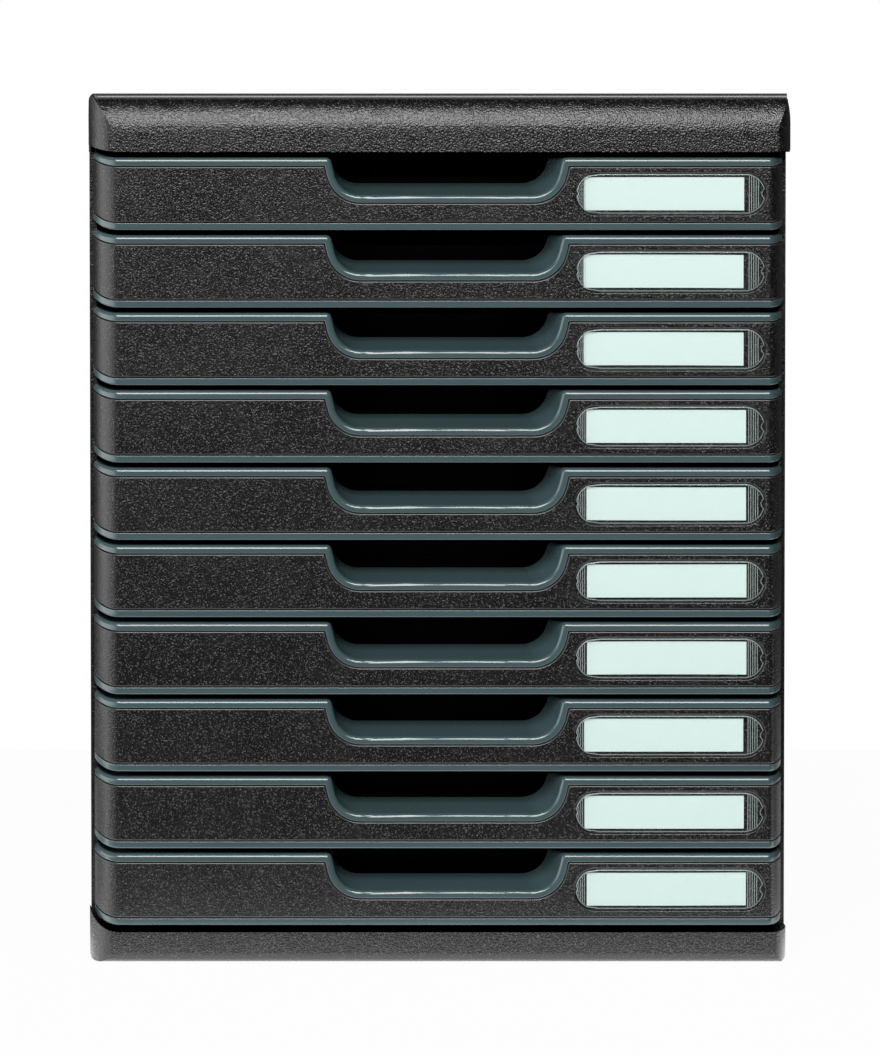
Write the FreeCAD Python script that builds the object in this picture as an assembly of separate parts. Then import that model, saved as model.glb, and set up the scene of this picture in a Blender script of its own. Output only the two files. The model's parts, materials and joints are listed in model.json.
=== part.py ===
import FreeCAD, Part
import math
import os

# Desktop drawer unit: a moulded casing with ten shallow drawers that slide out to the front.
# Millimetres. +Z is up, the drawers open towards -Y, and the origin is the middle of the base.

# Casing
drawer_count = 10
drawer_pitch = 32.1
casing_width = 290.2
casing_depth = 350.0
side_wall = 3.0
seat_gap = 0.3

# Top cover
top_cover_height = 24.2
top_cover_overhang = 1.7
cover_wall = 2.3
top_bulge_height = 16.0
top_bulge_depth = 12.0
top_side_drop = 12.0
top_side_lean_left = 0.3
top_side_lean_right = 1.7
top_edge_drop = 3.3
top_edge_reach_left = 3.0
top_edge_reach_right = 6.6
top_rise_left = 1.9
top_rise_right = 0.4
top_gap = 2.3

# Bottom cover and feet
bottom_cover_height = 12.6
bottom_cover_overhang = 0.5
bottom_plate = 2.5
bottom_front_round = 4.0
bottom_side_round = 3.0
bottom_rise_left = 5.8
bottom_rise_right = 0.4
bottom_gap = 2.8
foot_radius = 7.0
foot_stand = 0.8
foot_seat = 1.4
foot_inset = 24.0
foot_count_each_way = 2

# Tongues of the side and back panels inside the covers
tongue_wall = 2.2
tongue_height = 8.0
tongue_overlap = 6.0
back_wall = 2.5
field_margin = 16.0
field_depth = 0.6
field_round = 8.0
back_fields_across = 3
back_fields_up = 4
back_rib = 8.0

# Rounded ends that the drawer fronts and both covers share, seen from above
corner_width_left = 11.6
corner_width_right = 6.2
corner_depth = 20.0

# Drawer front
front_height = 30.0
front_end_gap = 1.5
front_setback = 1.0
front_wall = 2.2
web_wall = 1.5
web_pitch = 30.0
lip_height = 3.45
trim_height = 2.9
lip_round = 1.8
trim_round = 0.8
lip_rise_left = 3.6
lip_rise_right = 1.5
trim_rise_left = 4.6
trim_rise_right = 1.8

# Grip notch in the drawer front
notch_centre = 3.85
notch_floor_length = 71.5
notch_floor_level = 14.3
notch_radius = 11.0
notch_flare = 14.0
notch_corner_round = 2.2
notch_lip = 2.95
ledge_rise = 5.1
ledge_lean = 6.0

# Front panel
panel_wall = 3.0
panel_gap = 0.2
panel_edge = 0.3
panel_end_wall = 1.0
peg_radius = 1.5
peg_length = 2.0
peg_level = 7.0
peg_end_margin = 21.35
peg_pitch = 48.0
peg_count_each_side = 2
peg_clearance = 0.1

# Label window and card
label_end_margin = 7.75
label_notch_gap = 17.5
label_level = 15.0
label_height = 17.0
label_depth = 2.2
label_bevel = 0.6
window_gap = 0.3
window_wall = 1.3
window_notch_radius_left = 0.8
window_notch_radius_right = 1.3
card_margin_left = 4.3
card_margin_right = 8.3
card_height = 13.7
card_wall = 0.3
card_gap = 0.1
rib_count_left = 4
rib_count_right = 6
rib_pitch_left = 0.8
rib_pitch_right = 0.9
rib_width_left = 0.4
rib_width_right = 0.5
rib_start_left = 0.3
rib_start_right = 2.0
rib_height = 0.25

# Tray
tray_wall = 1.8
tray_floor_level = 1.5
tray_side_height = 25.0
tray_back_height = 21.0
tray_rear_gap = 12.0
flange_width = 5.4
flange_wall = 1.8
flange_gap = 0.8
ledge_wall = 2.0
ledge_width = 5.0
run_gap = 0.3
drawer_travel = 230.0
stop_tab_length = 3.0
stop_tab_height = 3.0
stop_block_height = 3.6
stop_gap = 0.4

# Places that follow from the sizes above
half_width = casing_width / 2
front_y = -casing_depth / 2
back_y = casing_depth / 2
bottom_rim = foot_stand + bottom_cover_height
first_front = bottom_rim + bottom_gap
top_rim = first_front + (drawer_count - 1) * drawer_pitch + front_height + top_gap
top_z = top_rim + top_cover_height
front_half = half_width - front_end_gap
drawer_y = front_y + front_setback
section_back = drawer_y + corner_depth
panel_seat = panel_wall + panel_gap
side_front = section_back + seat_gap
flange_edge = half_width - side_wall - flange_gap
tray_half = flange_edge - flange_width
label_start = notch_centre + notch_floor_length / 2 + label_notch_gap
label_end = front_half - label_end_margin
label_length = label_end - label_start
label_centre = (label_start + label_end) / 2
card_length = label_length - card_margin_left - card_margin_right
card_centre = label_centre + (card_margin_left - card_margin_right) / 2
tray_rear = back_y - back_wall - tray_rear_gap
flare = math.radians(notch_flare)
web_count = 2 * math.floor(front_half / web_pitch)
spare = 1.0
end_reach = front_end_gap + max(top_cover_overhang, bottom_cover_overhang) + spare
near = 0.01
same = 1e-6
left, right = -1, 1
corner_width = {left: corner_width_left, right: corner_width_right}
peg_places = [
    side * (front_half - peg_end_margin - i * peg_pitch)
    for side in (left, right)
    for i in range(peg_count_each_side)
]


def vec(x, y, z):
    return FreeCAD.Vector(x, y, z)


def box(low, high):
    size = high - low
    return Part.makeBox(size.x, size.y, size.z, low)


def fused(shapes):
    return shapes[0].fuse(shapes[1:]).removeSplitter()


def prism(edges, direction):
    """The solid that a closed flat outline sweeps along a direction."""
    wire = Part.Wire(Part.__sortEdges__(edges))
    return Part.Face(wire).extrude(direction)


def line(a, b):
    return Part.LineSegment(a, b).toShape()


def polyline(points):
    return [line(a, b) for a, b in zip(points, points[1:])]


def quarter_ellipse(centre, to_start, to_end):
    """A quarter of an ellipse from centre + to_start to centre + to_end."""
    longer, shorter = to_start, to_end
    if to_end.Length > to_start.Length:
        longer, shorter = to_end, to_start
    if longer.Length - shorter.Length < same:
        middle = centre + (to_start + to_end) * math.sqrt(0.5)
        return Part.Arc(centre + to_start, middle, centre + to_end).toShape()
    whole = Part.Ellipse(centre + longer, centre + shorter, centre)
    return Part.ArcOfEllipse(whole, 0, math.pi / 2).toShape()


def bend(half, side):
    """Where the straight part of a front ends and its rounded end starts."""
    return side * (half - corner_width[side])


def plan(half, front, inset, back, low, high):
    """The region of a front seen from above: straight, with elliptic ends, between two levels."""
    middles = {side: vec(bend(half, side), front + corner_depth, low) for side in (left, right)}
    ahead = vec(0, inset - corner_depth, 0)
    edges = [line(middles[left] + ahead, middles[right] + ahead)]
    ends = []
    for side in (left, right):
        outwards = vec(side * (corner_width[side] - inset), 0, 0)
        edges.append(quarter_ellipse(middles[side], ahead, outwards))
        ends.append(middles[side] + outwards)
    if back > front + corner_depth:
        ends[1:1] = [vec(ends[0].x, back, low), vec(ends[1].x, back, low)]
    return prism(edges + polyline(ends), vec(0, 0, high - low))


def sweep_up(start, level, rise, side, y):
    """The end of a split line: an arc that climbs by rise over the corner, and a straight run past it."""
    width = corner_width[side]
    if rise < near:
        return polyline([vec(start, y, level), vec(start + side * (width + end_reach), y, level)])
    radius = (width**2 + rise**2) / (2 * rise)
    turn = math.asin((width + spare) / radius)

    def at(angle):
        return vec(start + side * radius * math.sin(angle), y, level + radius * (1 - math.cos(angle)))

    tip = at(turn) + vec(side * end_reach, 0, end_reach * math.tan(turn))
    return [Part.Arc(at(0), at(turn / 2), at(turn)).toShape(), line(at(turn), tip)]


def band(half, low, high, rises_low, rises_high, y, depth):
    """The region between two split lines that climb at both ends, carried back along Y."""
    starts = {side: bend(half, side) for side in (left, right)}
    edges = []
    tips = {left: [], right: []}
    for level, rises in ((low, rises_low), (high, rises_high)):
        edges.append(line(vec(starts[left], y, level), vec(starts[right], y, level)))
        for side, rise in zip((left, right), rises):
            end = sweep_up(starts[side], level, rise, side, y)
            edges += end
            tips[side].append(max((v.Point for e in end for v in e.Vertexes), key=lambda p: abs(p.x)))
    edges += [line(*tips[left]), line(*tips[right])]
    return prism(edges, vec(0, depth, 0))


def notch_wire(inset, y):
    """The outline of the grip notch at a depth, moved into the material by inset."""
    share = (y - drawer_y) / corner_depth
    level = notch_floor_level + share * ledge_rise
    floor_half = notch_floor_length / 2
    left_x = notch_centre - floor_half - share * ledge_rise * math.tan(flare)
    right_x = notch_centre + floor_half + share * (ledge_rise * math.tan(flare) - ledge_lean)
    radius = notch_radius + inset
    top = front_height + 2 * spare

    def wall(middle_x, side):
        middle = vec(middle_x, y, level + notch_radius)
        bottom = middle - vec(0, 0, radius)
        half_turn = (math.pi / 2 - flare) / 2
        half_way = middle + vec(side * math.sin(half_turn), 0, -math.cos(half_turn)) * radius
        foot = middle + vec(side * math.cos(flare), 0, -math.sin(flare)) * radius
        head = vec(foot.x + side * (top - foot.z) * math.tan(flare), y, top)
        return [Part.Arc(bottom, half_way, foot).toShape(), line(foot, head)], bottom, head

    left_edges, left_bottom, left_head = wall(left_x, left)
    right_edges, right_bottom, right_head = wall(right_x, right)
    edges = left_edges[::-1] + [line(left_bottom, right_bottom)] + right_edges
    edges.append(line(right_head, left_head))
    return Part.Wire(edges)


def notch_solid(inset):
    """The slanted throat of the grip notch: its floor climbs and its right wall leans inwards."""
    ends = [notch_wire(inset, drawer_y - spare), notch_wire(inset, section_back + spare)]
    return Part.makeLoft(ends, True, True)


def straight_notch(inset):
    """The grip notch as the front panel has it, square to the front."""
    face = Part.Face(notch_wire(inset, drawer_y))
    face.translate(vec(0, -spare, 0))
    return face.extrude(vec(0, corner_depth, 0))


def stadium(centre_x, centre_z, length, height, y, depth):
    """A plate with half-round ends, upright, carried back along Y."""
    up = height / 2
    edges = []
    for side in (left, right):
        middle = vec(centre_x + side * (length / 2 - up), y, centre_z)
        over, under = middle + vec(0, 0, up), middle - vec(0, 0, up)
        edges.append(Part.Arc(over, middle + vec(side * up, 0, 0), under).toShape())
    for z in (centre_z - up, centre_z + up):
        edges.append(line(vec(centre_x - length / 2 + up, y, z), vec(centre_x + length / 2 - up, y, z)))
    return prism(edges, vec(0, depth, 0))


def front_plan(inset, back=section_back):
    return plan(front_half, drawer_y, inset, back, -2 * front_height, 2 * front_height)


def seam_band(grow):
    """The outline of the front panel on the drawer front, larger by grow on every side."""
    shape = band(
        front_half,
        trim_height - grow,
        front_height - lip_height + grow,
        (trim_rise_left, trim_rise_right),
        (lip_rise_left, lip_rise_right),
        drawer_y - spare,
        corner_depth + spare - panel_end_wall,
    )
    return shape.cut(straight_notch(notch_lip - grow))


def edges_where(shape, test):
    return [e for e in shape.Edges if test(e)]


def near_front_surface(edge):
    """True if an edge lies in the front surface of a drawer front, round both ends."""
    for share in (0.2, 0.5, 0.8):
        at = edge.FirstParameter + share * (edge.LastParameter - edge.FirstParameter)
        point = edge.valueAt(at)
        side = left if point.x < 0 else right
        beyond = max(abs(point.x) - abs(bend(front_half, side)), 0) / corner_width[side]
        if beyond >= 1:
            return False
        surface = section_back - corner_depth * math.sqrt(1 - beyond**2)
        if abs(point.y - surface) > 2 * near:
            return False
    return True


def end_faces_apart(edge):
    """True if an edge runs along the front, and not up one of its ends."""
    points = [v.Point for v in edge.Vertexes]
    return abs(points[0].x - points[-1].x) > 5 * near


def peg(x, radius, length):
    """A round peg behind the front panel, or the hole that takes it."""
    return Part.makeCylinder(radius, length, vec(x, drawer_y + panel_wall, peg_level), vec(0, 1, 0))


def drawer_front_block():
    """The tray's front: a hollow wall with the lip, the trim, the notch and the seat of the panel."""
    whole = band(
        front_half,
        0,
        front_height,
        (trim_rise_left, trim_rise_right),
        (lip_rise_left, lip_rise_right),
        drawer_y - spare,
        corner_depth + 2 * spare,
    )
    block = whole.common(front_plan(0)).cut(notch_solid(0))

    def notch_corner(edge):
        box_of = edge.BoundBox
        level = abs(box_of.ZMin - front_height) < near and abs(box_of.ZMax - front_height) < near
        return level and box_of.YLength > corner_depth / 2

    block = block.makeFillet(notch_corner_round, edges_where(block, notch_corner))
    upper = notch_floor_level - spare

    def lip_edge(edge):
        return near_front_surface(edge) and end_faces_apart(edge) and edge.BoundBox.ZMin > upper

    block = block.makeFillet(lip_round, edges_where(block, lip_edge))

    def trim_edge(edge):
        low = edge.BoundBox.ZMax < trim_rise_left + trim_rise_right
        return near_front_surface(edge) and end_faces_apart(edge) and low

    block = block.makeFillet(trim_round, edges_where(block, trim_edge))
    seat = seam_band(0).cut(front_plan(panel_seat))
    block = block.cut(seat)
    hollow_top = band(
        front_half,
        -front_height,
        front_height - front_wall,
        (trim_rise_left, trim_rise_right),
        (lip_rise_left, lip_rise_right),
        drawer_y - spare,
        corner_depth + spare - front_wall,
    )
    hollow = hollow_top.common(front_plan(panel_seat + front_wall)).cut(notch_solid(front_wall))
    for i in range(web_count):
        x = (i + 0.5 - web_count / 2) * web_pitch
        low = vec(x - web_wall / 2, drawer_y, -front_height)
        hollow = hollow.cut(box(low, vec(x + web_wall / 2, section_back, front_height)))
    block = block.cut(hollow)
    for x in peg_places:
        block = block.cut(peg(x, peg_radius + peg_clearance, peg_length + spare))
    return block


def tray():
    """A drawer tray: the hollow front, the floor, the walls, the sliding flanges and the stop tabs."""
    inner = tray_half - tray_wall
    start = section_back - panel_end_wall
    floor_top = tray_floor_level + tray_wall
    parts = [drawer_front_block()]
    parts.append(box(vec(-tray_half, start, tray_floor_level), vec(tray_half, tray_rear, floor_top)))
    rear_low = vec(-tray_half, tray_rear - tray_wall, tray_floor_level)
    parts.append(box(rear_low, vec(tray_half, tray_rear, tray_back_height)))
    for side in (left, right):
        low_x, high_x = sorted((side * inner, side * tray_half))
        parts.append(box(vec(low_x, start, tray_floor_level), vec(high_x, tray_rear, tray_side_height)))
        low_x, high_x = sorted((side * inner, side * flange_edge))
        low_z = tray_side_height - flange_wall
        parts.append(box(vec(low_x, start, low_z), vec(high_x, tray_rear, tray_side_height)))
        tab_top = tray_side_height + stop_tab_height
        parts.append(box(vec(low_x, tray_rear - stop_tab_length, low_z), vec(high_x, tray_rear, tab_top)))
    return fused(parts)


def front_panel():
    """The grained panel that sits in the seat of the tray's front, with the pocket of the label window."""
    panel = seam_band(-panel_gap).common(front_plan(0)).cut(front_plan(panel_wall))

    def outline(edge):
        return near_front_surface(edge) and end_faces_apart(edge)

    panel = panel.makeChamfer(panel_edge, edges_where(panel, outline))
    before = drawer_y - spare
    pocket = stadium(label_centre, label_level, label_length, label_height, before, spare + label_depth)
    panel = panel.cut(pocket)

    def pocket_edge(edge):
        reach = edge.BoundBox
        flat = abs(reach.YMin - drawer_y) < near and abs(reach.YMax - drawer_y) < near
        across = max(abs(reach.XMin - label_centre), abs(reach.XMax - label_centre))
        up = max(abs(reach.ZMin - label_level), abs(reach.ZMax - label_level))
        return flat and across < label_length / 2 + near and up < label_height / 2 + near

    panel = panel.makeChamfer(label_bevel, edges_where(panel, pocket_edge))
    return fused([panel] + [peg(x, peg_radius, peg_length) for x in peg_places])


def card_room(grow, front, back):
    """The space of the card, larger by grow at its edges, between two depths."""
    across = card_length / 2 + grow
    up = card_height / 2 + grow
    low = vec(card_centre - across, front, label_level - up)
    return box(low, vec(card_centre + across, back, label_level + up))


def label_card():
    """The blank card at the bottom of the label pocket."""
    back = drawer_y + label_depth - card_gap
    return card_room(0, back - card_wall, back)


def label_window():
    """The clear window over the card: its rim reaches the pocket's floor, and its ends are ribbed."""
    length = label_length - 2 * window_gap
    height = label_height - 2 * window_gap
    back = drawer_y + label_depth - card_gap
    face = back - card_wall - card_gap - window_wall
    window = stadium(label_centre, label_level, length, height, face, back - face)
    window = window.cut(card_room(card_gap, face + window_wall, back + spare))
    rib_root = face + window_wall / 2
    rib_front = face - rib_height
    ribbed = stadium(label_centre, label_level, length, height, rib_front, rib_root - rib_front)
    ribs = []
    for side, count, pitch, width, start in (
        (left, rib_count_left, rib_pitch_left, rib_width_left, rib_start_left),
        (right, rib_count_right, rib_pitch_right, rib_width_right, rib_start_right),
    ):
        for i in range(count):
            x = card_centre + side * (card_length / 2 + start + i * pitch)
            low = vec(x - width / 2, rib_front, label_level - height)
            high = vec(x + width / 2, rib_root, label_level + height)
            ribs.append(box(low, high).common(ribbed))
    whole = fused([window] + ribs)
    for side, radius in ((left, window_notch_radius_left), (right, window_notch_radius_right)):
        tip = vec(label_centre + side * length / 2, face - spare, label_level)
        whole = whole.cut(Part.makeCylinder(radius, back - face + 2 * spare, tip, vec(0, 1, 0)))
    return whole


def cover_profile_front(top, drop, inset):
    """The bulging front of the top cover, seen from the side, carried across the whole width."""
    reach = half_width + 10 * spare
    start = front_y + inset
    crown = top - inset
    round_low = crown - top_bulge_height
    middle = vec(-reach, start + top_bulge_depth, round_low)
    edges = [quarter_ellipse(middle, vec(0, -top_bulge_depth, 0), vec(0, 0, top_bulge_height))]
    corners = [
        vec(-reach, start + top_bulge_depth, crown),
        vec(-reach, back_y - inset, crown),
        vec(-reach, back_y - inset, drop),
        vec(-reach, start, drop),
        vec(-reach, start, round_low),
    ]
    return prism(edges + polyline(corners), vec(2 * reach, 0, 0))


def cover_profile_side(top, drop, inset):
    """The sides of the top cover, seen from the front: upright, then leaning in up to a rounded edge."""
    half = half_width + top_cover_overhang - inset
    crown = top - inset
    lean_top = crown - top_edge_drop
    lean_low = lean_top - top_side_drop
    y = front_y - spare
    edges = []
    shelves = []
    for side, lean, reach in (
        (left, top_side_lean_left, top_edge_reach_left),
        (right, top_side_lean_right, top_edge_reach_right),
    ):
        radius = (top_side_drop**2 + lean**2) / (2 * lean)
        half_turn = math.asin(top_side_drop / radius) / 2
        bow_x = half - radius * (1 - math.cos(half_turn))
        bow = vec(side * bow_x, y, lean_low + radius * math.sin(half_turn))
        edges.append(line(vec(side * half, y, drop), vec(side * half, y, lean_low)))
        lean_head = vec(side * (half - lean), y, lean_top)
        edges.append(Part.Arc(vec(side * half, y, lean_low), bow, lean_head).toShape())
        middle = vec(side * (half - lean - reach), y, lean_top)
        edges.append(quarter_ellipse(middle, vec(side * reach, 0, 0), vec(0, 0, top_edge_drop)))
        shelves.append(middle + vec(0, 0, top_edge_drop))
    edges.append(line(*shelves))
    edges.append(line(vec(-half, y, drop), vec(half, y, drop)))
    return prism(edges, vec(0, casing_depth + 2 * spare, 0))


def top_cover():
    """The lid: a bulging front, rounded corners, open below, on the shoulders of the side and back panels."""
    half = half_width + top_cover_overhang

    def shell(inset, drop):
        outline = plan(half, front_y, inset, back_y - inset, top_rim - spare, top_z + spare)
        body = cover_profile_front(top_z, drop, inset).common(cover_profile_side(top_z, drop, inset))
        return body.common(outline)

    cover = shell(0, top_rim).cut(shell(cover_wall, top_rim - spare))
    rises = (top_rise_left, top_rise_right)
    ahead = front_y - spare
    relief = band(front_half, top_rim - top_gap, top_rim, (0, 0), rises, ahead, side_front - ahead)
    return cover.cut(relief)


def bottom_cover():
    """The base: a shallow tray with rounded lower edges, whose rim climbs at the ends of the fronts."""
    half = half_width + bottom_cover_overhang
    rises = (bottom_rise_left, bottom_rise_right)
    low = foot_stand
    horn = bottom_rim + 2 * max(rises)
    outline = plan(half, front_y, 0, back_y, low, horn)
    for along, radius in (("XLength", bottom_front_round), ("YLength", bottom_side_round)):
        block = box(vec(-half, front_y, low), vec(half, back_y, horn))
        edges = [e for e in block.Edges if e.BoundBox.ZMax < low + near and getattr(e.BoundBox, along) > half]
        outline = outline.common(block.makeFillet(radius, edges))
    room = plan(half, front_y, cover_wall, back_y - cover_wall, low + bottom_plate, horn + spare)
    cover = outline.cut(room)
    above = horn + 2 * spare
    front_rim = band(front_half, bottom_rim, above, rises, rises, front_y - spare, corner_depth + spare)
    rear_low = vec(-half - spare, front_y + corner_depth, bottom_rim)
    cover = cover.cut(front_rim).cut(box(rear_low, vec(half + spare, back_y + spare, horn + spare)))
    for place in foot_places():
        seat_place = place + vec(0, 0, foot_stand)
        cover = cover.cut(Part.makeCylinder(foot_radius + seat_gap, foot_seat, seat_place))
    return cover


def foot_places():
    """The middles of the feet, at the corners of the base."""
    reach_x = half_width - foot_inset
    reach_y = casing_depth / 2 - foot_inset
    last = foot_count_each_way - 1
    return [
        vec(-reach_x + 2 * reach_x * i / last, -reach_y + 2 * reach_y * j / last, 0)
        for j in range(foot_count_each_way)
        for i in range(foot_count_each_way)
    ]


def foot(place):
    """A rubber foot, seated in the recess of the base."""
    pad = Part.makeCylinder(foot_radius, foot_stand + foot_seat, vec(place.x, place.y, 0))
    rim = [e for e in pad.Edges if e.BoundBox.ZMax < near]
    return pad.makeChamfer(foot_stand / 2, rim)


def side_panel():
    """The right side panel: a wall with its tongues, ten runner ledges and ten stop blocks."""
    inner = half_width - side_wall
    wall = box(vec(inner, side_front, bottom_rim), vec(half_width, back_y, top_rim))
    field = box(
        vec(half_width - field_depth, side_front + field_margin, bottom_rim + field_margin),
        vec(half_width + spare, back_y - field_margin, top_rim - field_margin),
    )
    rounds = [e for e in field.Edges if e.BoundBox.XLength > field_depth]
    wall = wall.cut(field.makeFillet(field_round, rounds))
    tongue_rear = back_y - cover_wall - seat_gap
    top_edge = half_width + top_cover_overhang - cover_wall - seat_gap
    bottom_edge = half_width + bottom_cover_overhang - cover_wall - seat_gap
    tongue_low = foot_stand + bottom_plate + seat_gap
    upper_low = vec(top_edge - tongue_wall, side_front, top_rim - tongue_overlap)
    lower_low = vec(bottom_edge - tongue_wall, side_front, tongue_low)
    parts = [
        wall,
        box(upper_low, vec(top_edge, tongue_rear, top_rim + tongue_height)),
        box(lower_low, vec(bottom_edge, tongue_rear, bottom_rim + tongue_overlap)),
    ]
    ledge_top = tray_side_height - flange_wall - run_gap
    stop_rear = tray_rear - stop_tab_length - drawer_travel - stop_gap
    root = half_width - side_wall / 2
    for i in range(drawer_count):
        base = first_front + i * drawer_pitch
        ledge_low = vec(inner - ledge_width, side_front, base + ledge_top - ledge_wall)
        parts.append(box(ledge_low, vec(root, back_y - back_wall - seat_gap, base + ledge_top)))
        block_low = vec(inner - ledge_width, stop_rear - stop_tab_length, base + tray_side_height + run_gap)
        parts.append(box(block_low, vec(root, stop_rear, block_low.z + stop_block_height)))
    return fused(parts)


def back_panel():
    """The plate that closes the back, between the side panels, with shallow fields between its ribs."""
    half = half_width - side_wall
    wall = box(vec(-half, back_y - back_wall, bottom_rim), vec(half, back_y, top_rim))
    tongue_rear = back_y - cover_wall - seat_gap
    tongue_front = tongue_rear - tongue_wall
    tongue_half = half - tongue_wall
    upper_low = vec(-tongue_half, tongue_front, top_rim - tongue_overlap)
    upper = box(upper_low, vec(tongue_half, tongue_rear, top_rim + tongue_height))
    lower_low = vec(-tongue_half, tongue_front, foot_stand + bottom_plate + seat_gap)
    lower = box(lower_low, vec(tongue_half, tongue_rear, bottom_rim + tongue_overlap))
    root_rear = back_y - back_wall / 2
    roots = [
        box(vec(-tongue_half, tongue_front, z), vec(tongue_half, root_rear, z + tongue_overlap))
        for z in (bottom_rim, top_rim - tongue_overlap)
    ]
    plate = fused([wall, upper, lower] + roots)
    across = (2 * half - back_rib * (back_fields_across + 1)) / back_fields_across
    room = top_rim - bottom_rim - 2 * tongue_overlap
    up = (room - back_rib * (back_fields_up + 1)) / back_fields_up
    for i in range(back_fields_across):
        for j in range(back_fields_up):
            x = -half + back_rib + i * (across + back_rib)
            z = bottom_rim + tongue_overlap + back_rib + j * (up + back_rib)
            field = box(vec(x, back_y - field_depth, z), vec(x + across, back_y + spare, z + up))
            rounds = [e for e in field.Edges if e.BoundBox.YLength > field_depth]
            plate = plate.cut(field.makeFillet(field_round, rounds))
    return plate


def save(shape, node):
    if not shape.isValid():
        print("not valid:", node)
    print(node, len(shape.Solids), "solid", round(shape.Volume / 1000, 2), "cm3", len(shape.Faces), "faces")
    shape.exportStep("parts/" + node + ".step")


os.makedirs("parts", exist_ok=True)
save(top_cover(), "top_cover")
save(bottom_cover(), "bottom_cover")
right_side = side_panel()
save(right_side, "side_panel_right")
save(right_side.mirror(vec(0, 0, 0), vec(1, 0, 0)), "side_panel_left")
save(back_panel(), "back_panel")
foot_names = ("front_left", "front_right", "rear_left", "rear_right")
for name, place in zip(foot_names, foot_places()):
    save(foot(place), "foot_" + name)

drawer_pieces = {
    "tray": tray(),
    "front_panel": front_panel(),
    "label_card": label_card(),
    "label_window": label_window(),
}
for number in range(1, drawer_count + 1):
    lift = first_front + (drawer_count - number) * drawer_pitch
    for name, shape in drawer_pieces.items():
        placed = shape.copy()
        placed.translate(vec(0, 0, lift))
        save(placed, "%s_%02d" % (name, number))
print("overall height", round(top_z, 2))
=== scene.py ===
# %% [markdown]
# # A desktop drawer unit in black and slate plastic
# The real unit is moulded plastic: a black casing, ten slate grey trays, ten grained black fronts that wrap
# round the trays, and a clear label window with a blank card on each front. The construction comes from the
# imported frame, at its real size. This script gives each surface its finish, and rebuilds the pieces whose
# small rounds, ribs and creases catch the light.

# %% Load the fixed frame
import json
import math

import bpy
import numpy as np
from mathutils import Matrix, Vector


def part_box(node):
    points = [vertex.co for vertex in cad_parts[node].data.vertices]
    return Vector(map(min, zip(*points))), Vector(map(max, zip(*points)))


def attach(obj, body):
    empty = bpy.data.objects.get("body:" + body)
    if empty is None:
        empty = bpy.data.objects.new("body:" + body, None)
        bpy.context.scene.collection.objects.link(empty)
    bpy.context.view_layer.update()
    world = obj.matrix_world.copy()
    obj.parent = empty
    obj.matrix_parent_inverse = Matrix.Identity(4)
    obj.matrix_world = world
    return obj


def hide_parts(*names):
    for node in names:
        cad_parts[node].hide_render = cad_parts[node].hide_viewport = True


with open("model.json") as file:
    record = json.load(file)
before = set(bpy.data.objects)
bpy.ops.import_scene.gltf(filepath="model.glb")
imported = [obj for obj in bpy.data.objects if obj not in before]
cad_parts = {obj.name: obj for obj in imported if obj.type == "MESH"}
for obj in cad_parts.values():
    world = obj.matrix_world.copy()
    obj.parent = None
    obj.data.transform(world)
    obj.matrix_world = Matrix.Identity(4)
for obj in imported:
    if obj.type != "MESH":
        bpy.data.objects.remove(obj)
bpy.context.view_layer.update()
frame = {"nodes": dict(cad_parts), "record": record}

nodes = frame["nodes"]
drawer_tags = sorted(name[-2:] for name in nodes if name.startswith("tray_"))
MM = 0.001
print("drawers:", len(drawer_tags), "nodes:", len(nodes))

# %% [markdown]
# ## The camera
# The photograph is taken straight on from far away: the verticals look parallel, and the top of the lid
# isn't seen. So the camera stands a little below the lid, which shows the upper side of the low lips more
# than that of the high ones, and has a long lens. It looks down by less than three degrees, and a small
# shift of its picture does the rest of the framing, so that the uprights stay upright. The lens follows from
# the photograph's scale in pixels a millimetre.

# %% Place the camera
PHOTO_HEIGHT = 1056
PIXELS_PER_MM = 2.414
SENSOR = 36.0
EYE_DISTANCE = 2.4
EYE_HEIGHT = 0.336
PICTURE_HEIGHT = 0.1818
PICTURE_SIDE = 0.001
PICTURE_SHIFT = -0.1

front_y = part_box("top_cover")[0].y
camera_data = bpy.data.cameras.new("camera")
camera = bpy.data.objects.new("camera", camera_data)
bpy.context.scene.collection.objects.link(camera)
camera.location = (PICTURE_SIDE, front_y - EYE_DISTANCE, EYE_HEIGHT)
drop = EYE_HEIGHT - PICTURE_HEIGHT
camera_data.sensor_width = SENSOR
camera_data.lens = SENSOR * PIXELS_PER_MM * math.hypot(EYE_DISTANCE, drop) / MM / PHOTO_HEIGHT
camera_data.shift_y = PICTURE_SHIFT
tilt = math.atan2(drop, EYE_DISTANCE) + math.atan(PICTURE_SHIFT * SENSOR / camera_data.lens)
camera.rotation_euler = (math.pi / 2 - tilt, 0, 0)
camera_data.clip_end = 20
bpy.context.scene.camera = camera
bpy.context.scene.view_settings.view_transform = "Standard"
print("lens", round(camera_data.lens, 1), "mm, looking down by", round(math.degrees(tilt), 2), "degrees")

# %% [markdown]
# ## The studio
# Black plastic shows what it reflects. One wide softbox stands above the camera: it draws the bright band on
# the bulge of the lid and the thin lines on the rounded lips, while the upright faces stay dark, because
# nothing bright stands straight ahead of them. A pale wall at the left lights the left corners, and the
# floor right in front of the unit lifts the lowest pieces, partly by a glow that only reflections see, a
# painted reflection. Nodes are set up by short helpers, so that each material reads as a few steps.

# %% Helpers for node trees
def new_material(name):
    """A material with an empty node tree, and that tree."""
    material = bpy.data.materials.new(name)
    material.use_nodes = True
    tree = material.node_tree
    tree.nodes.clear()
    return material, tree


def feed(tree, socket, value):
    """Gives a socket its value: a link from another socket, or a number or colour of its own."""
    if isinstance(value, bpy.types.NodeSocket):
        tree.links.new(value, socket)
    else:
        socket.default_value = value


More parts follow.
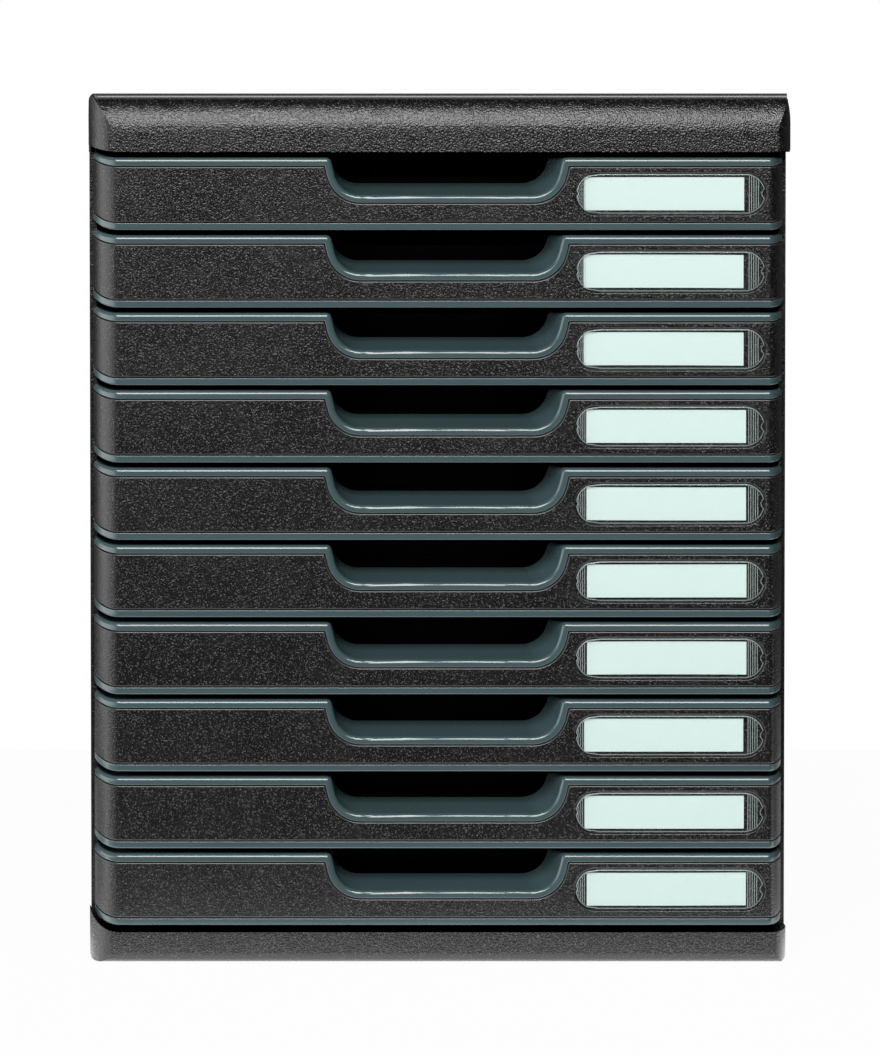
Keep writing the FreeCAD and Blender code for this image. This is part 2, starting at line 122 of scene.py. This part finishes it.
def add(tree, kind, **values):
    """A node of a kind. Values are set on its sockets where it has them by that name, or else on the
    node."""
    node = tree.nodes.new("ShaderNode" + kind)
    for key, value in values.items():
        socket = node.inputs.get(key.replace("_", " "))
        if socket is not None:
            feed(tree, socket, value)
        else:
            setattr(node, key, value)
    return node


def remap(tree, value, low, high, to_low, to_high, step="LINEAR"):
    """A value carried from one range to another, held inside the new range."""
    node = add(tree, "MapRange", Value=value, interpolation_type=step)
    for socket, number in zip(("From Min", "From Max", "To Min", "To Max"), (low, high, to_low, to_high)):
        node.inputs[socket].default_value = number
    return node.outputs[0]


def calculate(tree, operation, first, second):
    """Two values brought together by a sum, product or the like."""
    node = add(tree, "Math", operation=operation)
    feed(tree, node.inputs[0], first)
    feed(tree, node.inputs[1], second)
    return node.outputs[0]


def mixed(tree, share, first, second):
    """A first shader that gives way to a second one by a share from 0 to 1."""
    node = add(tree, "MixShader", Fac=share)
    tree.links.new(first.outputs[0], node.inputs[1])
    tree.links.new(second.outputs[0], node.inputs[2])
    return node


def finish_with(tree, shader, output="OutputMaterial"):
    """Ends a tree with a shader."""
    tree.links.new(shader.outputs[0], add(tree, output).inputs["Surface"])


# %% Floor
WHITE = (1, 1, 1, 1)
FLOOR_SIDE = 0.9
FLOOR_AHEAD = -1.1
FLOOR_BEHIND = 0.7
FLOOR_LIFT = 0.97
REFLECTED_GLOW_FAR, REFLECTED_GLOW_NEAR, REFLECTED_GLOW_BESIDE = 0.12, 2.2, 0.4


def floor_material():
    """A white floor whose own shading, and so the unit's soft shadow, shows only faintly to the camera.

    To glossy rays the floor glows, a painted reflection that is brightest right in front of the unit, and
    fades over 15 cm towards the camera and over 13 cm beside the unit."""
    material, tree = new_material("floor_white")
    rays = add(tree, "LightPath").outputs
    depth = add(tree, "SeparateXYZ", Vector=add(tree, "NewGeometry").outputs["Position"]).outputs["Y"]
    # the floor's glow to glossy rays: a painted reflection
    rising = remap(tree, depth, -0.34, -0.19, REFLECTED_GLOW_FAR, REFLECTED_GLOW_NEAR)
    falling = remap(tree, depth, -0.17, -0.04, REFLECTED_GLOW_NEAR, REFLECTED_GLOW_BESIDE)
    reflected_glow = calculate(tree, "MINIMUM", rising, falling)
    seen = calculate(tree, "MULTIPLY", rays["Is Camera Ray"], FLOOR_LIFT)
    shader = add(tree, "BsdfDiffuse", Color=(0.85, 0.85, 0.85, 1))
    shader = mixed(tree, seen, shader, add(tree, "Emission", Color=WHITE, Strength=1.0))
    shader = mixed(tree, rays["Is Glossy Ray"], shader, add(tree, "Emission", Color=WHITE, Strength=reflected_glow))
    finish_with(tree, shader)
    return material


floor_mesh = bpy.data.meshes.new("floor")
corners = [
    (-FLOOR_SIDE, FLOOR_AHEAD, 0),
    (FLOOR_SIDE, FLOOR_AHEAD, 0),
    (FLOOR_SIDE, FLOOR_BEHIND, 0),
    (-FLOOR_SIDE, FLOOR_BEHIND, 0),
]
floor_mesh.from_pydata(corners, [], [(0, 1, 2, 3)])
floor = bpy.data.objects.new("floor", floor_mesh)
bpy.context.scene.collection.objects.link(floor)
floor_mesh.materials.append(floor_material())

# %% World: white to the camera, a dim studio with a bright wall at the left to the plastic
STUDIO_LEVEL = 0.05
WALL_LEVEL = 2.0
world = bpy.data.worlds.new("studio")
bpy.context.scene.world = world
world.use_nodes = True
tree = world.node_tree
tree.nodes.clear()
rays = add(tree, "LightPath").outputs
towards = add(tree, "SeparateXYZ", Vector=add(tree, "TexCoord").outputs["Generated"]).outputs
left = remap(tree, towards["X"], -0.2, -0.95, 0, WALL_LEVEL, "SMOOTHSTEP")
ahead = remap(tree, towards["Y"], 0.8, 0.2, 0, 1, "SMOOTHSTEP")
low = remap(tree, towards["Z"], 0.7, 0.3, 0, 1, "SMOOTHSTEP")
wall = calculate(tree, "MULTIPLY", calculate(tree, "MULTIPLY", left, ahead), low)
dim = add(tree, "Background", Color=WHITE, Strength=calculate(tree, "ADD", wall, STUDIO_LEVEL))
white = add(tree, "Background", Color=WHITE, Strength=1.0)
seen = calculate(tree, "MAXIMUM", rays["Is Camera Ray"], rays["Is Transmission Ray"])
finish_with(tree, mixed(tree, seen, dim, white), "OutputWorld")
print("world nodes:", len(tree.nodes))


# %% The softbox above the camera
def softbox(name, place, aim, width, height, watts):
    """A rectangular lamp at a place, turned to face a point."""
    data = bpy.data.lights.new(name, "AREA")
    data.shape = "RECTANGLE"
    data.size = width
    data.size_y = height
    data.energy = watts
    lamp = bpy.data.objects.new(name, data)
    bpy.context.scene.collection.objects.link(lamp)
    x, y, z = np.array(aim, float) - np.array(place, float)
    lamp.location = place
    lamp.rotation_euler = (math.atan2(math.hypot(x, y), -z), 0, math.atan2(-x, y))
    return lamp


key = softbox("key", place=(-0.2, -3.33, 2.4), aim=(0, -0.17, 0.2), width=2.15, height=2.3, watts=130)
print("lamp:", key.name, "looking down by", round(90 - math.degrees(key.rotation_euler.x)), "degrees")

# %% [markdown]
# ## Finishes
# Both plastics are moulded. The black one comes out of an etched mould: a fine sand grain whose tiny facets
# glint by their bump, and light specks painted into its colour add painted glints. The slate one is smooth,
# with the faint orange peel and hairline rubs of a tray that is pushed in and out. All patterns read Object
# coordinates, in metres, so a grain of 0.6 mm is a noise of scale 1 / 0.0006. Where a piece carries the
# attribute
# "edge", on the rounds of its edges, the plastic is worn smooth and a little paler: wear, and a painted
# highlight line.


# %% Shared steps of the finishes
def noise(tree, place, scale, detail=2.0, roughness=0.5):
    """A noise value of about 0 to 1, with one lump in 1/scale metres."""
    return add(tree, "TexNoise", Vector=place, Scale=scale, Detail=detail, Roughness=roughness).outputs[0]


def blend_colours(tree, share, first, second):
    """Two colours, each a triple or a socket, mixed by a share."""
    node = add(tree, "Mix", data_type="RGBA")
    feed(tree, node.inputs[0], share)
    for socket, colour in zip(node.inputs[6:8], (first, second)):
        feed(tree, socket, (*colour, 1) if isinstance(colour, tuple) else colour)
    return node.outputs[2]


def bump(tree, height, distance, strength=1.0):
    """A bump whose relief is distance metres high."""
    return add(tree, "Bump", Height=height, Distance=distance, Strength=strength).outputs[0]


# %% Grained black plastic
BLACK = (0.002, 0.002, 0.0022)
# paler colour on edge rounds: wear and a painted highlight line
WORN_AND_HIGHLIT_BLACK = (0.05, 0.05, 0.049)
# near-black colour painted on the side panels' front edges: a painted shade
PAINTED_DEEP_SHADE = (0.0005, 0.0005, 0.0005)
PAINTED_SHADE_FADE = 3 * MM


def grained_black(name, grain, relief, painted_glint_colour, painted_shade_from=None):
    """Etched black plastic: grain of a size in metres, glinting facets with painted glints in the colour,
    edges worn and painted paler as a highlight line, a faint change of gloss.

    In front of a given depth, if one is given, the colour is painted as dark as in a deep gap: a painted
    shade."""
    material, tree = new_material(name)
    place = add(tree, "TexCoord").outputs["Object"]
    lumps = noise(tree, place, 1 / grain, detail=0.0)
    edge = add(tree, "Attribute", attribute_name="edge").outputs["Fac"]
    face = remap(tree, edge, 0, 1, 1, 0)
    # painted glints: light specks in the colour stand in for the grain's specular glints, a painted highlight
    painted_glints = calculate(tree, "MULTIPLY", remap(tree, lumps, 0.62, 0.78, 0, 1), face)
    colour = blend_colours(tree, painted_glints, BLACK, painted_glint_colour)
    # edge rounds painted paler: wear and a painted highlight line
    colour = blend_colours(tree, edge, colour, WORN_AND_HIGHLIT_BLACK)
    # painted shade: the colour turns near-black in front of the given depth
    if painted_shade_from is not None:
        depth = add(tree, "SeparateXYZ", Vector=place).outputs["Y"]
        shade = remap(tree, depth, painted_shade_from, painted_shade_from + PAINTED_SHADE_FADE, 1, 0)
        colour = blend_colours(tree, shade, colour, PAINTED_DEEP_SHADE)
    handled = noise(tree, place, 30, detail=4.0, roughness=0.6)
    rough = remap(tree, handled, 0.3, 0.7, 0.24, 0.3)
    normal = bump(tree, lumps, relief, strength=face)
    shader = add(tree, "BsdfPrincipled", Base_Color=colour, Roughness=rough, Normal=normal)
    shader.inputs["Specular IOR Level"].default_value = 0.65
    finish_with(tree, shader)
    return material


# %% Smooth slate plastic
def slate_plastic():
    """Smooth slate grey plastic with a faint orange peel, soft blotches and fine rubs along the slide."""
    material, tree = new_material("tray_slate")
    place = add(tree, "TexCoord").outputs["Object"]
    blotch = remap(tree, noise(tree, place, 18, detail=3.0), 0.3, 0.7, 0, 1)
    colour = blend_colours(tree, blotch, (0.052, 0.089, 0.094), (0.060, 0.101, 0.106))
    # edge rounds painted paler: wear and a painted highlight line
    edge = add(tree, "Attribute", attribute_name="edge").outputs["Fac"]
    colour = blend_colours(tree, edge, colour, (0.12, 0.16, 0.16))
    stretch = add(tree, "Mapping", Vector=place)
    stretch.inputs["Scale"].default_value = (1, 0.06, 1)
    rubs = noise(tree, stretch.outputs[0], 900)
    rough = remap(tree, rubs, 0.35, 0.7, 0.13, 0.2)
    normal = bump(tree, noise(tree, place, 260), 0.02 * MM)
    shader = add(tree, "BsdfPrincipled", Base_Color=colour, Roughness=rough, Normal=normal)
    shader.inputs["Specular IOR Level"].default_value = 0.9
    finish_with(tree, shader)
    return material


# %% Clear plastic, card and rubber
def clear_plastic():
    """Clear plastic: light passes it straight on to the card, and its rim and ribs are painted pale: rubs,
    and a painted highlight.

    Only the faces that look outwards mirror, because inside a plate the Fresnel share grows to a whole."""
    material, tree = new_material("window_clear")
    place = add(tree, "TexCoord").outputs["Object"]
    normal = bump(tree, noise(tree, place, 90), 0.03 * MM)
    rough = remap(tree, noise(tree, place, 600, detail=3.0), 0.4, 0.75, 0.05, 0.12)
    through = add(tree, "BsdfTransparent", Color=(0.98, 0.995, 0.99, 1))
    gloss = add(tree, "BsdfGlossy", Roughness=rough, Normal=normal)
    pale = add(tree, "BsdfPrincipled", Base_Color=(0.55, 0.66, 0.64, 1), Roughness=0.3, Normal=normal)
    outside = remap(tree, add(tree, "NewGeometry").outputs["Backfacing"], 0, 1, 1, 0)
    fresnel = add(tree, "Fresnel", IOR=1.49, Normal=normal).outputs[0]
    clear = mixed(tree, calculate(tree, "MULTIPLY", fresnel, outside), through, gloss)
    # pale share on the rim and rib crests: rubs and a painted highlight
    rub_and_highlight = add(tree, "Attribute", attribute_name="rub_and_highlight").outputs["Fac"]
    finish_with(tree, mixed(tree, rub_and_highlight, clear, pale))
    return material


def card_paper():
    """Smooth pale mint card with a faint fibre mottle."""
    material, tree = new_material("label_paper")
    place = add(tree, "TexCoord").outputs["Object"]
    fibres = noise(tree, place, 1300, detail=4.0, roughness=0.7)
    mottle = remap(tree, fibres, 0.3, 0.7, 0, 1)
    colour = blend_colours(tree, mottle, (0.74, 0.86, 0.83), (0.80, 0.915, 0.89))
    normal = bump(tree, fibres, 0.02 * MM)
    shader = add(tree, "BsdfPrincipled", Base_Color=colour, Roughness=0.75, Normal=normal)
    finish_with(tree, shader)
    return material


def foot_rubber():
    """Matt black rubber, slightly scuffed."""
    material, tree = new_material("foot_rubber")
    place = add(tree, "TexCoord").outputs["Object"]
    scuff = noise(tree, place, 700, detail=4.0)
    scuffed = remap(tree, scuff, 0.4, 0.7, 0, 1)
    colour = blend_colours(tree, scuffed, (0.016, 0.016, 0.016), (0.04, 0.04, 0.038))
    normal = bump(tree, scuff, 0.05 * MM)
    shader = add(tree, "BsdfPrincipled", Base_Color=colour, Roughness=0.8, Normal=normal)
    finish_with(tree, shader)
    return material


# colour of the painted glints: a painted highlight in the black plastic's colour
CASING_PAINTED_GLINT = (0.075, 0.075, 0.073)
finishes = {
    "casing_black": grained_black("casing_black", 0.6 * MM, 0.19 * MM, CASING_PAINTED_GLINT),
    "panel_black": grained_black("panel_black", 0.55 * MM, 0.13 * MM, (0.085, 0.085, 0.083)),
    "tray_grey": slate_plastic(),
    "window_clear": clear_plastic(),
    "label_paper": card_paper(),
    "foot_rubber": foot_rubber(),
}
print("finishes:", sorted(finishes))

# %% [markdown]
# ## Moulded edges
# No edge of a moulding is truly sharp, and it is the small round on each edge that draws the fine light
# lines in the photograph; a paler colour on the rounds adds a painted highlight. The frame's pieces have
# their true shape with sharp small edges, so a copy of each one has its loose triangles merged, its flat
# faces joined again, and a narrow bevel put on every edge that turns by more than 38 degrees. The side panels
# keep the frame's mesh, and only their front edges, in the shade between the fronts' ends, are painted
# darker: a painted shade.

# %% Give the frame's pieces their finish
slot_of = {s["node"]: s["material_slot"] for s in frame["record"]["subparts"]}
bodies = frame["record"]["behaviour"]["bodies"]
body_of = {node: body for body, members in bodies.items() for node in members}
# the side panels' front edges get a painted shade
side_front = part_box("side_panel_left")[0].y
side_finish = grained_black("casing_side_painted_shade", 0.6 * MM, 0.15 * MM, CASING_PAINTED_GLINT, painted_shade_from=side_front + 1 * MM)
for name, node in nodes.items():
    node.data.materials.clear()
    node.data.materials.append(side_finish if name.startswith("side_panel") else finishes[slot_of[name]])
print("finished nodes:", len(nodes))

# %% Where the fronts bend, and the hairline round a front panel
import bmesh
from mathutils import Matrix

CORNER = {-1: 11.6 * MM, 1: 6.2 * MM}
NOTCH_REACH = 56 * MM
LEFT_BEND = -126 * MM
POCKET_LOW, POCKET_HIGH = 5.2 * MM, 24.5 * MM
INSET = 0.2 * MM


def inset_rim(work, base):
    """Moves the rim of a front panel inwards by INSET, so that the hairline gap to the tray shows.

    A rim vertex is one between faces that turn up or down, or that stand upright in the notch. Its move m is
    the smallest one with n . m = -INSET for the direction n of each of those faces, seen from the front."""
    for vertex in work.verts:
        x, level = vertex.co.x, vertex.co.z - base
        beside_notch = x > NOTCH_REACH or LEFT_BEND < x < -NOTCH_REACH
        pocket = POCKET_LOW < level < POCKET_HIGH and beside_notch
        turns = [face.normal for face in vertex.link_faces]
        if abs(x) > NOTCH_REACH:
            turns = [(0, math.copysign(1, n.z)) for n in turns if abs(n.z) > 0.4]
        else:
            turns = [(n.x, n.z) / np.hypot(n.x, n.z) for n in turns if math.hypot(n.x, n.z) > 0.5]
        if turns and not pocket:
            move = np.linalg.lstsq(np.array(turns), np.full(len(turns), -INSET), rcond=0.1)[0]
            vertex.co.x += move[0]
            vertex.co.z += move[1]


# %% A softened copy of a piece
MERGE = 0.02 * MM
FLAT = math.radians(1.0)
TURN = math.radians(38.0)
LABEL_MIDDLE, LABEL_HALF = 11.9 * MM, 9.8 * MM

tray_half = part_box("tray_" + drawer_tags[0])[1].x
bends = [side * (tray_half - CORNER[side] - 0.3 * MM) for side in (-1, 1)]
CUTS = [*np.arange(LEFT_BEND, 0.1261, 14 * MM), *bends]


def softened(name, width):
    """The mesh of a node with its sharp edges rounded to a width in metres.

    The bevel puts its faces in a second material slot, which becomes the attribute "edge", whose paler colour
    is wear and a painted highlight line, except round the label, whose edges lie in the window's shade. Every
    flat face keeps its own normal up to its rounds. The long strips of a round are cut, so that what bends
    the normals at their ends doesn't reach along them.
    The covers' bevel keeps clear of its neighbours, because their forms are close together."""
    mesh = nodes[name].data.copy()
    work = bmesh.new()
    work.from_mesh(mesh)
    bmesh.ops.remove_doubles(work, verts=work.verts, dist=MERGE)
    bmesh.ops.dissolve_limit(work, angle_limit=FLAT, verts=work.verts, edges=work.edges)
    if name.startswith("front_panel"):
        inset_rim(work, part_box("tray_" + name[-2:])[0].z)
    for x in CUTS:
        everything = work.verts[:] + work.edges[:] + work.faces[:]
        bmesh.ops.bisect_plane(work, geom=everything, plane_co=(x, 0, 0), plane_no=(1, 0, 0))
    work.to_mesh(mesh)
    work.free()
    mesh.shade_smooth()
    mesh.materials.append(None)
    holder = bpy.data.objects.new("holder", mesh)
    bpy.context.scene.collection.objects.link(holder)
    bevel = holder.modifiers.new("bevel", "BEVEL")
    bevel.width = width
    bevel.segments = 3
    bevel.limit_method = "ANGLE"
    bevel.angle_limit = TURN
    bevel.use_clamp_overlap = not name.startswith(("tray", "front_panel"))
    bevel.material = 1
    weigh = holder.modifiers.new("weigh", "WEIGHTED_NORMAL")
    weigh.weight = 80
    bpy.context.view_layer.update()
    rounded = bpy.data.meshes.new_from_object(holder.evaluated_get(bpy.context.evaluated_depsgraph_get()))
    bpy.data.objects.remove(holder)
    slots = np.empty(len(rounded.polygons), dtype=np.int32)
    rounded.polygons.foreach_get("material_index", slots)
    centres = np.empty(len(rounded.polygons) * 3)
    rounded.polygons.foreach_get("center", centres)
    level = centres[2::3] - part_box(name)[0].z
    at_label = (centres[0::3] > NOTCH_REACH) & (np.abs(level - LABEL_MIDDLE) < LABEL_HALF)
    # bevel faces take the paler edge colour: wear and a painted highlight line
    worn_and_highlit = (slots == 1) & ~(name.startswith("front_panel") & at_label)
    edge = rounded.attributes.new("edge", "FLOAT", "FACE")
    edge.data.foreach_set("value", worn_and_highlit.astype(np.float32))
    rounded.polygons.foreach_set("material_index", np.zeros_like(slots))
    return rounded


def show(name, mesh, body, slot, *replaced):
    """Puts a mesh in the scene as a piece that rides on a body and stands for the nodes it replaces."""
    mesh.materials.clear()
    mesh.materials.append(finishes[slot])
    piece = bpy.data.objects.new(name, mesh)
    bpy.context.scene.collection.objects.link(piece)
    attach(piece, body)
    if replaced:
        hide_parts(*replaced)
    return piece


# %% Soften the trays, the front panels and the covers
def stack_copies(family, width):
    """Softens the first of ten like pieces once, and shows a copy of it at the height of each."""
    first = softened(family + "_" + drawer_tags[0], width)
    first_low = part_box(family + "_" + drawer_tags[0])[0].z
    for tag in drawer_tags:
        node = family + "_" + tag
        mesh = first.copy()
        mesh.transform(Matrix.Translation((0, 0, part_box(node)[0].z - first_low)))
        show(node + "_finished", mesh, body_of[node], slot_of[node], node)
    return len(first.polygons)


print("tray faces:", stack_copies("tray", 0.25 * MM))
print("front panel faces:", stack_copies("front_panel", 0.2 * MM))
base = softened("bottom_cover", 0.6 * MM)
show("bottom_cover_finished", base, "casing", slot_of["bottom_cover"], "bottom_cover")

# %% [markdown]
# ## The lid
# A bead runs along the top of the bulge and turns back at both corners. It is a tube whose upper half stands
# out of the lid, and it draws the thin light line under the lid's top edge, helped by the paler edge colour
# it is given, a painted highlight. The lid's left side is flush with the casing in the photograph, so the
# copy of the lid is drawn in a little there.

# %% Draw in the left side and add the bead
DRAW_IN = 1.5 * MM
BEAD = 1.8 * MM
BEAD_BACK = 7.6 * MM
BEAD_REACH = 0.985
CORNER_DEPTH = 20.0 * MM


def smooth(value):
    """A soft step from 0 to 1: three times the square less twice the cube."""
    held = np.clip(value, 0, 1)
    return held * held * (3 - 2 * held)


def drawn_in(points):
    """Points of the lid, moved right by up to DRAW_IN over the last 3 cm at the left."""
    moved = points.copy()
    moved[:, 0] += DRAW_IN * smooth(1 - (points[:, 0] - lid_low.x) / 0.03)
    return moved


def bead_mesh():
    """A tube along the front of the lid: straight, then back along the ellipse of each corner.

    At a distance d beyond the start of a corner of width w, the ellipse lies D (1 - sqrt(1 - (d / w)^2))
    behind the front. Round the tube, the points turn about its axis by equal angles."""
    half = lid_high.x
    x = half * np.sin(np.linspace(-1, 1, 161) * math.pi / 2) * BEAD_REACH
    width = np.where(x < 0, CORNER[-1], CORNER[1])
    beyond = np.clip((np.abs(x) - (half - width)) / width, 0, 1)
    corner_y = front_y + CORNER_DEPTH * (1 - np.sqrt(1 - beyond**2)) + 1.6 * BEAD
    y = np.maximum(front_y + BEAD_BACK, corner_y)
    turn = np.linspace(0, 2 * math.pi, 20, endpoint=False)
    points = np.empty((len(x), len(turn), 3))
    points[:, :, 0] = x[:, None]
    points[:, :, 1] = y[:, None] - BEAD * np.cos(turn)
    points[:, :, 2] = lid_high.z - BEAD + BEAD * np.sin(turn)
    rows, columns = points.shape[:2]
    index = np.arange(rows * columns).reshape(rows, columns)
    after = np.roll(index, -1, axis=1)
    quads = np.stack([index[:-1], after[:-1], after[1:], index[1:]], axis=-1).reshape(-1, 4)
    return points.reshape(-1, 3), quads.tolist() + [index[0, ::-1].tolist(), index[-1].tolist()]


lid_low, lid_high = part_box("top_cover")
lid = softened("top_cover", 0.3 * MM)
work = bmesh.new()
work.from_mesh(lid)
bead_points, bead_faces = bead_mesh()
corners = [work.verts.new(p) for p in bead_points]
edge_layer = work.faces.layers.float["edge"]
for face in bead_faces:
    new_face = work.faces.new([corners[i] for i in face])
    new_face.smooth = True
    # the bead takes the paler edge colour without grain: a painted highlight line
    new_face[edge_layer] = 1.0
work.to_mesh(lid)
work.free()
places = np.empty(len(lid.vertices) * 3)
lid.vertices.foreach_get("co", places)
lid.vertices.foreach_set("co", drawn_in(places.reshape(-1, 3)).ravel())
show("top_cover_finished", lid, "casing", slot_of["top_cover"], "top_cover")
print("bead faces:", len(bead_faces))

# %% [markdown]
# ## Label windows and cards
# Each window is a clear plate with half-round ends, clipped over a blank card of mint paper. Its front is a
# grid of columns: every column runs from the lower to the upper edge of the outline, so the grid fills the
# plate to its rim. The rim is a quarter round, the ribs at both ends are half ellipses, and a small dent at
# each tip is where a nail lifts the window out. The cards are loose behind their windows, so each has
# slipped and turned a little, by amounts from a seeded generator.

# %% The plate
RIM = 0.45 * MM
PLATE = 1.3 * MM
RIB_HEIGHT = 0.25 * MM
# At each end: how many ribs, their pitch, their width, and how far the first one is from the card.
RIBS = {-1: (4, 0.85 * MM, 0.4 * MM, 0.4 * MM), 1: (5, 0.95 * MM, 0.45 * MM, 1.3 * MM)}
# At each tip: how deep the dent is and half of its height.
DENT = {-1: (0.7 * MM, 1.1 * MM), 1: (1.3 * MM, 1.9 * MM)}
COLUMN = 0.09 * MM


def window_surface(low, high, card_low, card_high):
    """Points of the plate's front and their pale share, rubs and a painted highlight on the rim and ribs, as
    two arrays over columns and rows.

    The depth is the rim's quarter round, R - sqrt(R^2 - (R - d)^2) at a distance d inside the outline, less
    the ribs: h * sqrt(1 - (2 (x - c) / w)^2) at a distance x - c from the middle of a rib of width w."""
    half, up = (high.x - low.x) / 2, (high.z - low.z) / 2
    middle = (low.x + high.x) / 2
    left = np.arange(low.x, card_low.x + 1 * MM, COLUMN)
    right = np.arange(high.x, card_high.x - 1 * MM, -COLUMN)[::-1]
    x = np.concatenate([left, np.linspace(left[-1], right[0], 14)[1:-1], right])
    across = np.clip(np.abs(x - middle) - (half - up), 0, up)
    limit = np.sqrt(up**2 - across**2)
    share = np.sin(np.linspace(-1, 1, 33) * math.pi / 2)
    z = limit[:, None] * share[None, :]
    inside = up - np.hypot(across[:, None], z)
    edge = np.clip(inside, 0, RIM)
    depth = RIM - np.sqrt(RIM**2 - (RIM - edge) ** 2)
    ribs = np.zeros(len(x))
    for side, (count, pitch, width, start) in RIBS.items():
        card_end = card_low.x if side < 0 else card_high.x
        for i in range(count):
            away = (x - card_end - side * (start + i * pitch)) * 2 / width
            ribs = np.maximum(ribs, np.sqrt(np.clip(1 - away**2, 0, 1)))
    fade = smooth(inside / (2 * RIM))
    points = np.empty(z.shape + (3,))
    points[..., 0] = x[:, None]
    points[..., 1] = low.y + RIB_HEIGHT + depth - RIB_HEIGHT * ribs[:, None] * fade
    points[..., 2] = (low.z + high.z) / 2 + z
    for side, (deep, tall) in DENT.items():
        tip = smooth(1 - (half - side * (x - middle)) / (3 * MM))
        points[..., 0] -= side * deep * tip[:, None] * np.clip(1 - (z / tall) ** 2, 0, 1)
    # the rim and the crests of the ribs are painted pale: rubs and a painted highlight line
    rub_and_highlight = np.maximum(0.85 * (1 - inside / RIM).clip(0, 1) ** 0.7, 0.8 * ribs[:, None] ** 8 * fade)
    return points, rub_and_highlight


def window_mesh(name, low, high, card_low, card_high):
    """The closed plate: its front, the same grid flat at the back, and the wall between their outlines."""
    front, rub_and_highlight = window_surface(low, high, card_low, card_high)
    back = front.copy()
    back[..., 1] = low.y + RIB_HEIGHT + PLATE
    columns, rows = rub_and_highlight.shape
    index = np.arange(columns * rows).reshape(columns, rows)
    cells = np.stack([index[:-1, :-1], index[1:, :-1], index[1:, 1:], index[:-1, 1:]], axis=-1).reshape(-1, 4)
    outline = np.concatenate([index[:, 0], index[-1, 1:], index[-2::-1, -1], index[0, -2:0:-1]])
    after = np.roll(outline, -1)
    shift = columns * rows
    wall = np.stack([outline, outline + shift, after + shift, after], axis=-1)
    faces = np.concatenate([cells, cells[:, ::-1] + shift, wall])
    mesh = bpy.data.meshes.new(name)
    mesh.from_pydata(np.concatenate([front.reshape(-1, 3), back.reshape(-1, 3)]).tolist(), [], faces.tolist())
    # pale share for the shader: rubs and a painted highlight
    value = mesh.attributes.new("rub_and_highlight", "FLOAT", "POINT")
    rub_and_highlight_values = np.concatenate([rub_and_highlight.ravel(), 0.3 * (rub_and_highlight.ravel() > 0.8)])
    value.data.foreach_set("value", rub_and_highlight_values.astype(np.float32))
    work = bmesh.new()
    work.from_mesh(mesh)
    bmesh.ops.remove_doubles(work, verts=work.verts, dist=0.001 * MM)
    bmesh.ops.dissolve_degenerate(work, edges=work.edges, dist=0.001 * MM)
    bmesh.ops.recalc_face_normals(work, faces=work.faces)
    work.to_mesh(mesh)
    work.free()
    mesh.shade_smooth()
    mesh.set_sharp_from_angle(angle=math.radians(50))
    return mesh


# %% The card
def card_mesh(name, low, high, slip, turn, bow):
    """A card of real thickness, moved by slip and turned by a small angle, with its long edges bowed.

    Its rise at a distance s from the middle is turn * s + bow * (1 - (2 s / length)^2)."""
    x = np.linspace(low.x, high.x, 25)
    along = (x - (low.x + high.x) / 2) / ((high.x - low.x) / 2)
    rise = turn * (x - x.mean()) + bow * (1 - along**2)
    points = []
    for y in (low.y, high.y):
        for z in (low.z, high.z):
            points.append(np.stack([x + slip, np.full_like(x, y), z + rise], axis=-1))
    grid = np.concatenate(points)
    n = len(x)
    i = np.arange(n - 1)
    under_front, over_front, under_back, over_back = (i + k * n for k in range(4))
    bands = [
        (under_front, over_front),
        (over_front, over_back),
        (over_back, under_back),
        (under_back, under_front),
    ]
    faces = [face for a, b in bands for face in np.stack([a, a + 1, b + 1, b], axis=-1).tolist()]
    faces += [[0, n, 3 * n, 2 * n], [n - 1, 3 * n - 1, 4 * n - 1, 2 * n - 1]]
    mesh = bpy.data.meshes.new(name)
    mesh.from_pydata(grid.tolist(), [], faces)
    work = bmesh.new()
    work.from_mesh(mesh)
    bmesh.ops.recalc_face_normals(work, faces=work.faces)
    work.to_mesh(mesh)
    work.free()
    return mesh


# %% A window and a card on every drawer
rng = np.random.default_rng(11)
for tag in drawer_tags:
    window, card = "label_window_" + tag, "label_card_" + tag
    card_low, card_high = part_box(card)
    plate = window_mesh(window + "_plate", *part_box(window), card_low, card_high)
    show(window + "_ribbed", plate, body_of[window], slot_of[window], window)
    slip, turn, bow = rng.uniform(-1.0, 1.0) * MM, rng.uniform(-0.003, 0.003), rng.uniform(-0.12, 0.12) * MM
    paper = card_mesh(card + "_sheet", card_low, card_high, slip, turn, bow)
    show(card + "_slipped", paper, body_of[card], slot_of[card], card)
print("window faces:", len(plate.polygons), "card faces:", len(paper.polygons))
